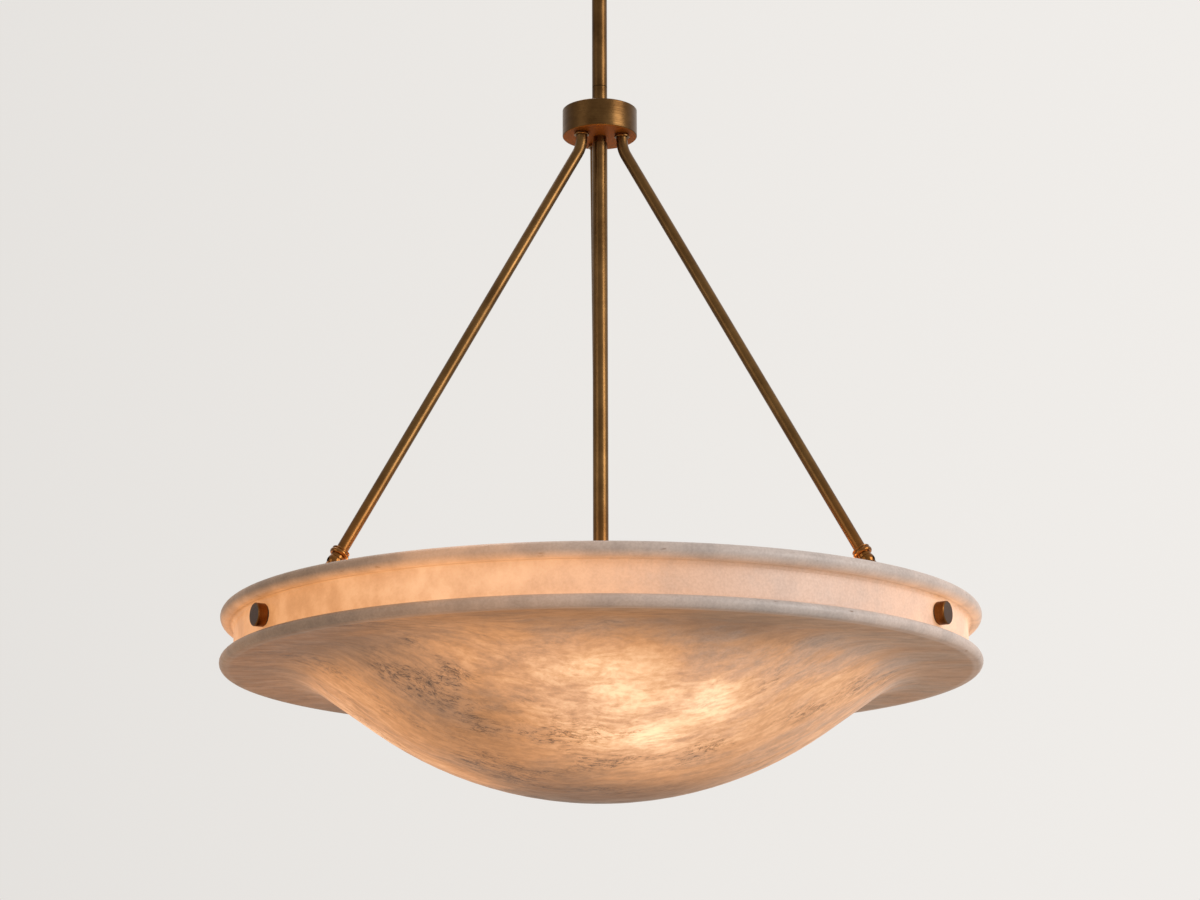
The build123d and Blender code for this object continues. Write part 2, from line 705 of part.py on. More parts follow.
# ------------------------------------------------------------------ alabaster bowl
# One turned piece: a rounded top flange, a recessed neck that takes the bolts, and a lower flange that
# sweeps through a hollow cove into the shallow dish. Outside and inside share the same arc centres.
inner_floor_z = brim_bottom_z + dish_wall
with BuildPart() as alabaster_bowl:
    with BuildSketch(Plane.XZ):
        with BuildLine():
            edge = top_flange_thickness / 2
            low_edge = low_flange_thickness / 2
            flange_z = rim_z - top_flange_thickness
            CenterArc((inner_radius + rim_edge_radius, rim_z - rim_edge_radius), rim_edge_radius, 180, -90)
            Line((inner_radius + rim_edge_radius, rim_z), (bowl_radius - edge, rim_z))
            CenterArc((bowl_radius - edge, rim_z - edge), edge, 90, -180)
            Line((bowl_radius - edge, flange_z), (neck_radius + neck_fillet, flange_z))
            CenterArc((neck_radius + neck_fillet, flange_z - neck_fillet), neck_fillet, 90, 90)
            Line((neck_radius, flange_z - neck_fillet), (neck_radius, brim_top_z + neck_fillet))
            CenterArc((neck_radius + neck_fillet, brim_top_z + neck_fillet), neck_fillet, 180, 90)
            Line((neck_radius + neck_fillet, brim_top_z), (bowl_radius - low_edge, brim_top_z))
            CenterArc((bowl_radius - low_edge, brim_top_z - low_edge), low_edge, 90, -180)
            Line((bowl_radius - low_edge, brim_bottom_z), (cove_start, brim_bottom_z))
            ThreePointArc(*(on_cove(cove_radius, turn) for turn in (0, slope / 2, slope)))
            Line(on_cove(cove_radius, slope), on_dish(dish_radius, slope))
            ThreePointArc(*(on_dish(dish_radius, turn) for turn in (slope, slope / 2, 0)))
            Line(on_dish(dish_radius, 0), on_dish(dish_radius - dish_wall, 0))
            ThreePointArc(*(on_dish(dish_radius - dish_wall, turn) for turn in (0, slope / 2, slope)))
            Line(on_dish(dish_radius - dish_wall, slope), on_cove(cove_radius + dish_wall, slope))
            ThreePointArc(*(on_cove(cove_radius + dish_wall, turn) for turn in (slope, slope / 2, 0)))
            Line((cove_start, inner_floor_z), (inner_radius - floor_fillet, inner_floor_z))
            CenterArc((inner_radius - floor_fillet, inner_floor_z + floor_fillet), floor_fillet, 270, 90)
            Line((inner_radius, inner_floor_z + floor_fillet), (inner_radius, rim_z - rim_edge_radius))
        make_face()
    revolve(axis=Axis.Z)
    for azimuth in arm_azimuths.values():
        with BuildSketch(facing_plane(azimuth, inner_radius - neck_wall, bolt_z)):
            Circle(rim_bolt_hole / 2)
        extrude(amount=3 * neck_wall, mode=Mode.SUBTRACT)
finish(alabaster_bowl, "alabaster_bowl")

# ------------------------------------------------------------------ lamp cluster
port_azimuths = list(lamp_azimuths.values())

with BuildPart() as cluster_body:
    with BuildSketch(Plane.XY.offset(cluster_bottom_z)):
        Circle(cluster_radius)
    extrude(amount=cluster_height)
    fillet(cluster_body.edges().group_by(Axis.Z)[-1], cluster_edge_radius)
    with BuildSketch(Plane.XY.offset(cluster_bottom_z)):
        Circle(cluster_radius - cluster_wall)
    extrude(amount=cluster_height - cluster_wall, mode=Mode.SUBTRACT)
    with BuildSketch(Plane.XY.offset(cluster_top_z)):
        Circle(pipe_hole)
    extrude(amount=-cluster_wall, mode=Mode.SUBTRACT)
    for azimuth in port_azimuths:
        with BuildSketch(facing_plane(azimuth, 0, lamp_z)):
            Circle(pipe_hole)
        extrude(amount=cluster_diameter, mode=Mode.SUBTRACT)
finish(cluster_body, "cluster_body")

with BuildPart() as cluster_cap:
    cap_z = cluster_bottom_z - cluster_cap_thickness
    with BuildSketch(Plane.XY.offset(cluster_bottom_z)):
        Circle(cluster_radius)
    extrude(amount=-cluster_cap_thickness)
    with BuildSketch(Plane.XZ):
        with BuildLine():
            Line((0, cap_z), (cluster_radius, cap_z))
            ThreePointArc(
                (cluster_radius, cap_z),
                (cluster_radius / 2, cap_z - cluster_cap_rise * 3 / 4),
                (0, cap_z - cluster_cap_rise),
            )
            Line((0, cap_z - cluster_cap_rise), (0, cap_z))
        make_face()
    revolve(axis=Axis.Z)
    with BuildSketch(Plane.XY.offset(cluster_bottom_z)):
        Circle(cluster_radius - cluster_wall - thread_gap)
        Circle(cluster_radius - 2 * cluster_wall, mode=Mode.SUBTRACT)
    extrude(amount=cluster_cap_spigot)
finish(cluster_cap, "cluster_cap")

with BuildPart() as cluster_nipple:
    with BuildSketch(Plane.XY.offset(cluster_top_z + pipe_engagement)):
        Circle(pipe_radius)
        Circle(pipe_bore / 2, mode=Mode.SUBTRACT)
    extrude(amount=-pipe_engagement - cluster_wall - nut_height)
finish(cluster_nipple, "cluster_nipple")

with BuildPart() as cluster_locknut:
    with BuildSketch(Plane.XY.offset(cluster_top_z - cluster_wall)):
        hex_nut(nut_across_flats, pipe_hole)
    extrude(amount=-nut_height)
finish(cluster_locknut, "cluster_locknut")

with BuildPart() as holder_nipples:
    for azimuth in port_azimuths:
        with BuildSketch(facing_plane(azimuth, cluster_radius - port_pipe_reach, lamp_z)):
            Circle(pipe_radius)
            Circle(pipe_bore / 2, mode=Mode.SUBTRACT)
        extrude(amount=port_pipe_reach + holder_gap + holder_neck_length)
finish(holder_nipples, "holder_nipples")

for name, azimuth in lamp_azimuths.items():
    plane = radial_plane(azimuth, 0, lamp_z)
    axis = radial_axis(azimuth, lamp_z)

    with BuildPart() as holder:
        body_start = holder_back + holder_neck_length
        with BuildSketch(plane):
            with BuildLine():
                Polyline(
                    (holder_back, pipe_hole),
                    (holder_back, holder_neck_diameter / 2),
                    (body_start, holder_neck_diameter / 2),
                    (body_start + holder_edge * 2, holder_diameter / 2),
                    (holder_front - holder_edge, holder_diameter / 2),
                    (holder_front, holder_diameter / 2 - holder_edge),
                    (holder_front, base_radius + thread_gap),
                    (mouth_back, base_radius + thread_gap),
                    (mouth_back, pipe_hole),
                    close=True,
                )
            make_face()
        revolve(axis=axis)
    finish(holder, f"lamp_holder_{name}")

    with BuildPart() as bulb_base:
        contact = bulb_contact_diameter / 2
        with BuildSketch(plane):
            with BuildLine():
                Polyline(
                    (mouth_back, 0),
                    (mouth_back, contact),
                    (base_back, contact),
                    (base_back + bulb_contact_height, base_radius),
                    (base_front, base_radius),
                    (base_front, base_radius - bulb_base_wall),
                    (base_back + 2 * bulb_contact_height, base_radius - bulb_base_wall),
                    (base_back + 2 * bulb_contact_height, 0),
                    close=True,
                )
            make_face()
        revolve(axis=axis)
    finish(bulb_base, f"bulb_base_{name}")

    with BuildPart() as bulb_glass:
        glass_start = base_front - bulb_neck_length / 2
        neck_end = base_front + bulb_neck_length / 2
        for inset, mode in ((0, Mode.ADD), (bulb_wall, Mode.SUBTRACT)):
            globe = bulb_radius - inset
            neck = bulb_neck_radius - inset
            run = globe_centre - neck_end
            lean = asin(globe / sqrt(run**2 + neck**2)) - atan2(neck, run)
            touch = (globe_centre - globe * sin(lean), globe * cos(lean))
            crown = (globe_centre + globe, 0)
            half = (radians(90) + lean) / 2
            between = (globe_centre + globe * cos(half), globe * sin(half))
            with BuildSketch(plane):
                with BuildLine():
                    Polyline(crown, (glass_start, 0), (glass_start, neck), (neck_end, neck), touch)
                    ThreePointArc(touch, between, crown)
                make_face()
            revolve(axis=axis, mode=mode)
    finish(bulb_glass, f"bulb_glass_{name}")
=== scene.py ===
import bpy
import math
from mathutils import Matrix, Vector


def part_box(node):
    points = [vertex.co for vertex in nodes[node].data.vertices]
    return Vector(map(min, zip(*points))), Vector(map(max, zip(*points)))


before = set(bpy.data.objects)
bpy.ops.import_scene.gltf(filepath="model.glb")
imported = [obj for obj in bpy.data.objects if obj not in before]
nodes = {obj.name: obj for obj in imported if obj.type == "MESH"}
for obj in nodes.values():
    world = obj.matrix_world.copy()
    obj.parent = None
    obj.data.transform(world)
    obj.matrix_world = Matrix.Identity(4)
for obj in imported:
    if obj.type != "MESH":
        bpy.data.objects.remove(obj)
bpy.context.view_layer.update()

print("frame loaded:", len(nodes), "nodes")

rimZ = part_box("alabaster_bowl")[1].z     # top of the bowl's rim
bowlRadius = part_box("alabaster_bowl")[1].x
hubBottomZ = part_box("hub_cup")[0].z
mm = 0.001


# small makers used by everything below

def newMaterial(name):
    material = bpy.data.materials.new(name)
    material.use_nodes = True
    material.node_tree.nodes.clear()
    return material


class Wiring:
    # places nodes and joins them, in a material, a group or the world
    columnWidth = 190

    def __init__(self, tree):
        self.tree = tree
        self.column = 0

    def add(self, kind, settings=None, **inputs):
        node = self.tree.nodes.new(kind)
        node.location = (self.column * self.columnWidth, 0)
        self.column += 1
        for key, value in (settings or {}).items():
            setattr(node, key, value)
        for key, value in inputs.items():
            self.feed(node.inputs[key.replace("_", " ")], value)
        return node

    def feed(self, socket, value):
        if isinstance(value, bpy.types.NodeSocket):
            self.tree.links.new(value, socket)
        else:
            socket.default_value = value

    def math(self, operation, first, second=0.0, clamp=False):
        node = self.add("ShaderNodeMath", {"operation": operation, "use_clamp": clamp})
        self.feed(node.inputs[0], first)
        self.feed(node.inputs[1], second)
        return node.outputs[0]

    def weighted(self, *parts):
        # the sum of several values, each times its weight
        total = 0.0
        for value, weight in parts:
            total = self.math("ADD", total, self.math("MULTIPLY", value, weight))
        return total

    def vector(self, operation, first, second=None):
        node = self.add("ShaderNodeVectorMath", {"operation": operation})
        self.feed(node.inputs[0], first)
        if second is not None:
            self.feed(node.inputs[1], second)
        number = operation in ("LENGTH", "DISTANCE", "DOT_PRODUCT")
        return node.outputs["Value" if number else "Vector"]

    def scaled(self, vector, factor):
        node = self.add("ShaderNodeVectorMath", {"operation": "SCALE"}, Scale=factor)
        self.feed(node.inputs[0], vector)
        return node.outputs[0]

    def remap(self, value, low, high, toLow=0.0, toHigh=1.0, style="SMOOTHSTEP"):
        node = self.add("ShaderNodeMapRange", {"interpolation_type": style}, Value=value,
                        From_Min=low, From_Max=high, To_Min=toLow, To_Max=toHigh)
        return node.outputs["Result"]

    def mix(self, factor, first, second, blend="MIX"):
        # a Mix node has its colours at inputs 6 and 7 and at output 2
        node = self.add("ShaderNodeMix", {"data_type": "RGBA", "blend_type": blend})
        for index, value in ((0, factor), (6, first), (7, second)):
            self.feed(node.inputs[index], value)
        return node.outputs[2]

    def mixVectors(self, factor, first, second):
        # and its vectors at inputs 4 and 5 and at output 1
        node = self.add("ShaderNodeMix", {"data_type": "VECTOR"})
        for index, value in ((0, factor), (4, first), (5, second)):
            self.feed(node.inputs[index], value)
        return node.outputs[1]

    def mixNumbers(self, factor, first, second):
        node = self.add("ShaderNodeMix", {"data_type": "FLOAT"}, Factor=factor, A=first, B=second)
        return node.outputs[0]

    def noise(self, vector, scale, detail, roughness, distortion=0.0):
        node = self.add("ShaderNodeTexNoise", Vector=vector, Scale=scale, Detail=detail,
                        Roughness=roughness, Distortion=distortion)
        return node.outputs["Fac"]

    def stretchedNoise(self, place, pattern):
        stretch, detail, roughness, distortion = pattern
        return self.noise(self.vector("MULTIPLY", place, stretch), 1.0, detail, roughness, distortion)

    def curve(self, value, points):
        node = self.add("ShaderNodeFloatCurve", Value=value)
        line = node.mapping.curves[0]
        while len(line.points) < len(points):
            line.points.new(0.5, 0.5)
        for spot, place in zip(line.points, points):
            spot.location = place
            spot.handle_type = "AUTO"
        node.mapping.update()
        return node.outputs[0]

    def withSpots(self, value, place, spots):
        # adds a soft round spot at each centre, with its width and strength
        for centre, width, strength in spots:
            spread = self.math("DIVIDE", self.vector("DISTANCE", place, centre), width)
            fall = self.math("EXPONENT", self.math("MULTIPLY", self.math("MULTIPLY", spread, spread), -1.0))
            value = self.math("ADD", value, self.math("MULTIPLY", fall, strength))
        return value


floatKind, colorKind, vectorKind = "NodeSocketFloat", "NodeSocketColor", "NodeSocketVector"


def newGroup(name, inputs, outputs):
    group = bpy.data.node_groups.new(name, "ShaderNodeTree")
    for label, kind, value in inputs:
        socket = group.interface.new_socket(name=label, in_out="INPUT", socket_type=kind)
        if value is not None:
            socket.default_value = value
    for label, kind in outputs:
        group.interface.new_socket(name=label, in_out="OUTPUT", socket_type=kind)
    wire = Wiring(group)
    return group, wire, wire.add("NodeGroupInput").outputs, wire.add("NodeGroupOutput").inputs


def closeMaterial(material, shader):
    out = material.node_tree.nodes.new("ShaderNodeOutputMaterial")
    material.node_tree.links.new(shader.outputs[0], out.inputs[0])
    return material


def dress(name, material):
    mesh = nodes[name].data
    mesh.materials.clear()
    mesh.materials.append(material)


def centreOf(name):
    low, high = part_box(name)
    return (low + high) / 2


def middleBetween(name, low, high):
    # mean place of a node's vertices between two heights
    spots = [vertex.co for vertex in nodes[name].data.vertices if low < vertex.co.z < high]
    return sum(spots, Vector()) / len(spots)


# alabaster: one stone, bedded across the depth of the bowl so that its veins run in hanging curves,
# clouded, with painted light making it paler and greyer to the right, with the lamps glowing through it;
# places are from the rim's centre

stone = {
    "bodyColor": (0.115, 0.058, 0.026, 1),
    "shadedLeftCloud": (0.150, 0.100, 0.070, 1),
    "litRightCloud": (0.250, 0.235, 0.230, 1),
    "veinColor": (0.060, 0.038, 0.028, 1),
    "shadedEdgeLeft": (0.300, 0.200, 0.135, 1),
    "litEdgeRight": (0.400, 0.375, 0.365, 1),
    "shadedNeckLeft": (0.200, 0.115, 0.062, 1),
    "litNeckRight": (0.430, 0.365, 0.340, 1),
    "paintedShadeTint": (0.78, 0.58, 0.44, 1),
    "deepGlow": (1.00, 0.410, 0.135, 1),
    "paleGlow": (1.00, 0.640, 0.360, 1),

    # how far the patterns are bent, and by how large a drift
    "warp": 50 * mm, "warpScale": 6.0, "warpDetail": 3.0,
    # patterns: stretch along x, y and z, detail, roughness, distortion; the patches are where veins may lie
    "clouds": ((7, 16, 9), 6.0, 0.62, 0.0),
    "streaks": ((36, 120, 56), 6.0, 0.68, 0.6),
    "mottle": ((140, 240, 180), 5.0, 0.66, 0.0),
    "veins": ((46, 170, 66), 7.0, 0.72, 0.9),
    "patches": ((11, 22, 15), 4.0, 0.60, 0.0),
    "softClouds": ((34, 34, 34), 5.0, 0.58, 0.0),
    "flecks": ((60, 60, 260), 2.0, 0.50, 0.0),
    "grain": ((520, 520, 520), 2.0, 0.60, 0.0),
    # the levels between which each one comes in
    "cloudLevels": (0.40, 0.62), "streakLevels": (0.36, 0.64), "mottleLevels": (0.35, 0.66),
    "veinLevels": (0.050, 0.006), "patchLevels": (0.50, 0.66), "softLevels": (0.38, 0.66),
    "fleckLevels": (0.70, 0.75),
    # levels of the mottle that break a vein up, and how much of it stays
    "veinBreaks": (0.40, 0.58, 0.35, 1.0),
    # levels of the grain and of the streaks, and the brightness and roughness that they come to
    "speckle": (0.36, 0.64, 0.90, 1.08), "roughness": (0.3, 0.7, 0.34, 0.50),

    # where the bands of the turned profile begin: radii for the flange edges, heights for the rest
    "edgeStarts": (bowlRadius - 10 * mm, bowlRadius - 6 * mm),
    "neckFoot": (-41 * mm, -37 * mm),
    "brimFoot": (-49.5 * mm, -46.5 * mm),
    "betweenFlanges": (-28 * mm, -24 * mm),
    # the hollow's faces lie within this radius and look up to this place
    "hollowRadius": bowlRadius - 17.5 * mm,
    "hollowFaces": (0, 0, 50 * mm),
    # between which places across the bowl the painted shade on the warm left turns into the painted light on
    # the grey right
    "paintedLightSpan": (-0.28, 0.22),
    # shares of the bowl's radius between which painted shade darkens and warms the brim and the foot
    "shadedBrim": (0.76, 0.90), "shadedFoot": (0.62, 0.20),

    # how much light comes through the dish, from its axis (0) out to the flange (1)
    "dishGlow": ((0.0, 0.12), (0.16, 0.14), (0.31, 0.33), (0.46, 0.51), (0.60, 0.60),
                 (0.68, 0.60), (0.75, 0.46), (0.80, 0.28), (0.864, 0.21), (1.0, 0.20)),
    # how much comes through the neck and the two flange edges, from the bowl's left (0) to its right (1)
    "neckGlow": ((0.0, 0.57), (0.15, 0.61), (0.32, 0.67), (0.50, 0.52),
                 (0.68, 0.27), (0.80, 0.29), (0.92, 0.53), (1.0, 0.62)),
    "upperGlow": ((0.0, 0.10), (0.12, 0.03), (0.22, 0.08), (0.32, 0.28),
                  (0.46, 0.12), (0.60, 0.07), (0.80, 0.10), (1.0, 0.20)),
    "lowerGlow": ((0.0, 0.10), (0.15, 0.02), (0.32, 0.14), (0.50, 0.12),
                  (0.70, 0.06), (0.85, 0.13), (1.0, 0.16)),
    # heights between which the neck's light comes into the top flange, and how much of it
    "bleed": (-6 * mm, -13 * mm, 0.0, 0.75),
    "hollowGlow": 0.95,
    # what the patterns take off the light, and the limits of what is left
    "cloudDims": 0.36, "streakDims": 0.24, "mottleDims": 0.18, "veinDims": 0.55,
    "ringDims": 0.28, "ringDimsAll": 0.05,
    "clearest": 1.26, "leastThrough": 0.12, "leastGlow": 0.02,
    # the glow turns paler where it is strong, and to the right
    "paleLevels": (0.48, 1.26), "paleToRight": 0.22,

    # the bulbs: where they point, how much of each shows through, and the light round them inside
    "bulbAzimuths": (300, 60, 180), "bulbShares": (1.0, 0.6, 0.5),
    "bulbReach": 149 * mm, "bulbDepth": 65.7 * mm, "bulbWidth": 85 * mm, "bulbGlow": 0.85,
    # spots below each bulb: radius, depth below the rim, turn from the bulb, width, strength
    "hotSpots": ((0.1380, 0.1170, -14.5, 0.021, 0.36), (0.1800, 0.0936, -3.0, 0.020, 0.46),
                 (0.1600, 0.1050, -9.0, 0.080, 0.27)),
    # brighter and dimmer spots painted into the glow through the stone: place, width, strength
    "paintedGlowSpots": (((-0.055, -0.218, -0.060), 0.050, 0.12), ((-0.010, -0.180, -0.092), 0.046, 0.28),
                   ((-0.002, -0.115, -0.126), 0.055, 0.24), ((0.045, -0.085, -0.134), 0.040, 0.12),
                   ((-0.124, -0.220, -0.055), 0.055, 0.21), ((-0.190, -0.075, -0.078), 0.035, 0.04),
                   ((-0.124, -0.120, -0.098), 0.070, -0.20), ((-0.083, -0.146, -0.100), 0.032, -0.12),
                   ((0.090, -0.218, -0.056), 0.050, -0.16), ((0.140, -0.120, -0.090), 0.050, -0.08),
                   ((0.190, -0.130, -0.072), 0.040, 0.10), ((-0.100, -0.008, -0.133), 0.045, 0.12)),
    # where the veins gather or stay away: place, width, strength
    "veinPlaces": (((-0.190, -0.095, -0.070), 0.035, 0.06), ((-0.135, -0.120, -0.090), 0.035, 0.05),
                   ((-0.099, -0.137, -0.100), 0.030, 0.10), ((-0.079, -0.064, -0.132), 0.036, 0.15),
                   ((-0.010, -0.055, -0.143), 0.040, 0.15), ((-0.006, -0.145, -0.110), 0.026, 0.10),
                   ((0.082, -0.090, -0.124), 0.030, 0.08), ((-0.100, -0.205, -0.062), 0.040, 0.05),
                   ((0.079, -0.159, -0.095), 0.050, -0.12), ((0.116, -0.222, -0.049), 0.070, -0.08),
                   ((0.0, -0.300, -0.010), 0.120, -0.10)),

    # how much of each pattern shows in the stone's own colour and relief, and how far painted light greys the
    # right side
    "cloudShare": 0.8, "litRightShare": 0.3, "veinShare": 0.7, "edgeCloudShare": 0.35, "fleckShare": 0.65,
    "streakRelief": 0.6, "relief": 0.14, "reliefDepth": 0.5 * mm,
    "refraction": 1.52, "gloss": 0.25,
}


def aroundAxis(radius, azimuth, height):
    angle = math.radians(azimuth)
    return (radius * math.cos(angle), radius * math.sin(angle), height)


def stonePatterns(wire, place):
    # masks for the clouds and veins, and the bare streaks and grain
    drift = wire.add("ShaderNodeTexNoise", Vector=place, Scale=stone["warpScale"], Detail=stone["warpDetail"])
    bend = wire.vector("SUBTRACT", drift.outputs["Color"], (0.5, 0.5, 0.5))
    bent = wire.vector("ADD", place, wire.scaled(bend, stone["warp"]))
    streaks = wire.stretchedNoise(bent, stone["streaks"])
    mottle = wire.stretchedNoise(bent, stone["mottle"])
    # a vein runs where its noise passes through the middle, in the patches alone
    ridge = wire.math("ABSOLUTE", wire.math("SUBTRACT", wire.stretchedNoise(bent, stone["veins"]), 0.5))
    patches = wire.withSpots(wire.stretchedNoise(bent, stone["patches"]), place, stone["veinPlaces"])
    veined = wire.math("MULTIPLY", wire.remap(ridge, *stone["veinLevels"]),
                       wire.remap(mottle, *stone["veinBreaks"]))
    return {
        "cloudy": wire.remap(wire.stretchedNoise(bent, stone["clouds"]), *stone["cloudLevels"]),
        "streaky": wire.remap(streaks, *stone["streakLevels"]),
        "mottled": wire.remap(mottle, *stone["mottleLevels"]),
        "veined": wire.math("MULTIPLY", veined, wire.remap(patches, *stone["patchLevels"])),
        "softClouds": wire.remap(wire.stretchedNoise(place, stone["softClouds"]), *stone["softLevels"]),
        "flecks": wire.remap(wire.stretchedNoise(place, stone["flecks"]), *stone["fleckLevels"]),
        "streaks": streaks,
        "grain": wire.stretchedNoise(place, stone["grain"]),
    }


def bowlBands(wire, place, facing):
    # masks for the neck between the flanges, the flange edges and the hollow, and how far up, out and
    # across a place lies
    split = wire.add("ShaderNodeSeparateXYZ", Vector=place)
    across, height = split.outputs["X"], split.outputs["Z"]
    radius = wire.vector("LENGTH", wire.vector("MULTIPLY", place, (1, 1, 0)))
    outermost = wire.remap(radius, *stone["edgeStarts"])
    inner = wire.math("SUBTRACT", 1.0, outermost)
    outwards = wire.vector("DOT_PRODUCT", facing, wire.vector("SUBTRACT", place, stone["hollowFaces"]))
    return {
        "height": height,
        "radiusShare": wire.math("DIVIDE", radius, bowlRadius),
        "fromLeft": wire.remap(across, -bowlRadius, bowlRadius, style="LINEAR"),
        # how far a place lies towards the painted light on the right
        "litFromRight": wire.remap(across, *stone["paintedLightSpan"]),
        "neck": wire.math("MULTIPLY", wire.remap(height, *stone["neckFoot"]), inner),
        "edge": wire.math("MULTIPLY", outermost, wire.remap(height, *stone["brimFoot"])),
        "upper": wire.remap(height, *stone["betweenFlanges"]),
        "hollow": wire.math("MULTIPLY", wire.math("LESS_THAN", outwards, 0.0),
                            wire.math("LESS_THAN", radius, stone["hollowRadius"])),
    }


def lampLight(wire, place, bands):
    # light from within, before the patterns dim it; the top flange glows where it meets the neck
    hotSpots, bulbSpots = [], []
    for azimuth, share in zip(stone["bulbAzimuths"], stone["bulbShares"]):
        for reach, depth, turn, width, strength in stone["hotSpots"]:
            hotSpots.append((aroundAxis(reach, azimuth + turn, -depth), width, strength * share))
        bulb = aroundAxis(stone["bulbReach"], azimuth, -stone["bulbDepth"])
        bulbSpots.append((bulb, stone["bulbWidth"], stone["bulbGlow"]))
    dish = wire.withSpots(wire.curve(bands["radiusShare"], stone["dishGlow"]), place, hotSpots)
    dish = wire.withSpots(dish, place, stone["paintedGlowSpots"])
    neck, upper, lower = [wire.curve(bands["fromLeft"], stone[name])
                          for name in ("neckGlow", "upperGlow", "lowerGlow")]
    upper = wire.mixNumbers(wire.remap(bands["height"], *stone["bleed"]), upper, neck)
    edge = wire.mixNumbers(bands["upper"], lower, upper)
    outside = wire.mixNumbers(bands["edge"], wire.mixNumbers(bands["neck"], dish, neck), edge)
    hollow = wire.withSpots(stone["hollowGlow"], place, bulbSpots)
    return wire.mixNumbers(bands["hollow"], outside, hollow)


def glowThroughStone(wire, light, patterns, bands):
    dish = wire.weighted((patterns["cloudy"], stone["cloudDims"]), (patterns["streaky"], stone["streakDims"]),
                         (patterns["mottled"], stone["mottleDims"]), (patterns["veined"], stone["veinDims"]))
    rings = wire.math("ADD", wire.math("MULTIPLY", patterns["softClouds"], stone["ringDims"]),
                      stone["ringDimsAll"])
    dimmed = wire.mixNumbers(wire.math("MAXIMUM", bands["neck"], bands["edge"]), dish, rings)
    through = wire.math("MAXIMUM", wire.math("SUBTRACT", stone["clearest"], dimmed), stone["leastThrough"])
    glow = wire.math("MULTIPLY", wire.math("MAXIMUM", light, stone["leastGlow"]), through)
    toRight = wire.math("MULTIPLY", bands["litFromRight"], stone["paleToRight"])
    paler = wire.math("ADD", wire.remap(glow, *stone["paleLevels"]), toRight, True)
    tint = wire.mix(paler, stone["deepGlow"], stone["paleGlow"])
    return wire.vector("MULTIPLY", tint, wire.scaled((1, 1, 1), glow))


def stoneColor(wire, patterns, bands):
    litFromRight, radiusShare = bands["litFromRight"], bands["radiusShare"]
    # painted light: the clouds turn paler and greyer to the right, and stay darker and warmer to the left
    cloud = wire.mix(litFromRight, stone["shadedLeftCloud"], stone["litRightCloud"])
    clouded = wire.math("ADD", wire.math("MULTIPLY", patterns["cloudy"], stone["cloudShare"]),
                        wire.math("MULTIPLY", litFromRight, stone["litRightShare"]), True)
    body = wire.mix(clouded, stone["bodyColor"], cloud)
    body = wire.mix(wire.math("MULTIPLY", patterns["veined"], stone["veinShare"]), body, stone["veinColor"])
    # painted shade: the brim under the flange and the foot are darkened and warmed
    paintedShadeMask = wire.math("MAXIMUM", wire.remap(radiusShare, *stone["shadedBrim"]),
                       wire.remap(radiusShare, *stone["shadedFoot"]))
    body = wire.mix(paintedShadeMask, body, stone["paintedShadeTint"], "MULTIPLY")
    # painted light: the neck is paler on the right and darker on the left
    body = wire.mix(bands["neck"], body, wire.mix(litFromRight, stone["shadedNeckLeft"], stone["litNeckRight"]))
    # painted light: the flange edges are paler on the right and darker on the left
    edge = wire.mix(litFromRight, stone["shadedEdgeLeft"], stone["litEdgeRight"])
    edge = wire.mix(wire.math("MULTIPLY", patterns["softClouds"], stone["edgeCloudShare"]), edge, cloud)
    edge = wire.mix(wire.math("MULTIPLY", patterns["flecks"], stone["fleckShare"]), edge, stone["veinColor"])
    speckle = wire.remap(patterns["grain"], *stone["speckle"], "LINEAR")
    return wire.vector("MULTIPLY", wire.mix(bands["edge"], body, edge), wire.scaled((1, 1, 1), speckle))


def litAlabasterGroup():
    group, wire, entry, leave = newGroup(
        "litAlabaster", [("Vector", vectorKind, None), ("Facing", vectorKind, None)],
        [("Color", colorKind), ("Roughness", floatKind), ("Glow", colorKind), ("Height", floatKind)])
    place = wire.vector("SUBTRACT", entry["Vector"], (0, 0, rimZ))
    patterns = stonePatterns(wire, place)
    bands = bowlBands(wire, place, entry["Facing"])
    light = lampLight(wire, place, bands)
    wire.feed(leave["Glow"], glowThroughStone(wire, light, patterns, bands))
    wire.feed(leave["Color"], stoneColor(wire, patterns, bands))
    wire.feed(leave["Roughness"], wire.remap(patterns["streaks"], *stone["roughness"], "LINEAR"))
    raised = wire.math("MULTIPLY", patterns["streaks"], stone["streakRelief"])
    wire.feed(leave["Height"], wire.math("ADD", raised, patterns["grain"]))
    return group


def alabasterMaterial():
    material = newMaterial("alabaster")
    wire = Wiring(material.node_tree)
    coordinates = wire.add("ShaderNodeTexCoord").outputs
    look = wire.add("ShaderNodeGroup", {"node_tree": litAlabasterGroup()},
                    Vector=coordinates["Object"], Facing=coordinates["Normal"]).outputs
    bump = wire.add("ShaderNodeBump", Height=look["Height"], Strength=stone["relief"],
                    Distance=stone["reliefDepth"])
    shader = wire.add("ShaderNodeBsdfPrincipled", Base_Color=look["Color"], Roughness=look["Roughness"],
                      IOR=stone["refraction"], Specular_IOR_Level=stone["gloss"], Normal=bump.outputs[0],
                      Emission_Color=look["Glow"], Emission_Strength=1.0)
    return closeMaterial(material, shader)


dress("alabaster_bowl", alabasterMaterial())
print("bowl dressed")


# brass: drawn lengthways on tubes, turned in rings on round pieces, browned by age, with painted shade on end
# faces and painted glow near the bowl

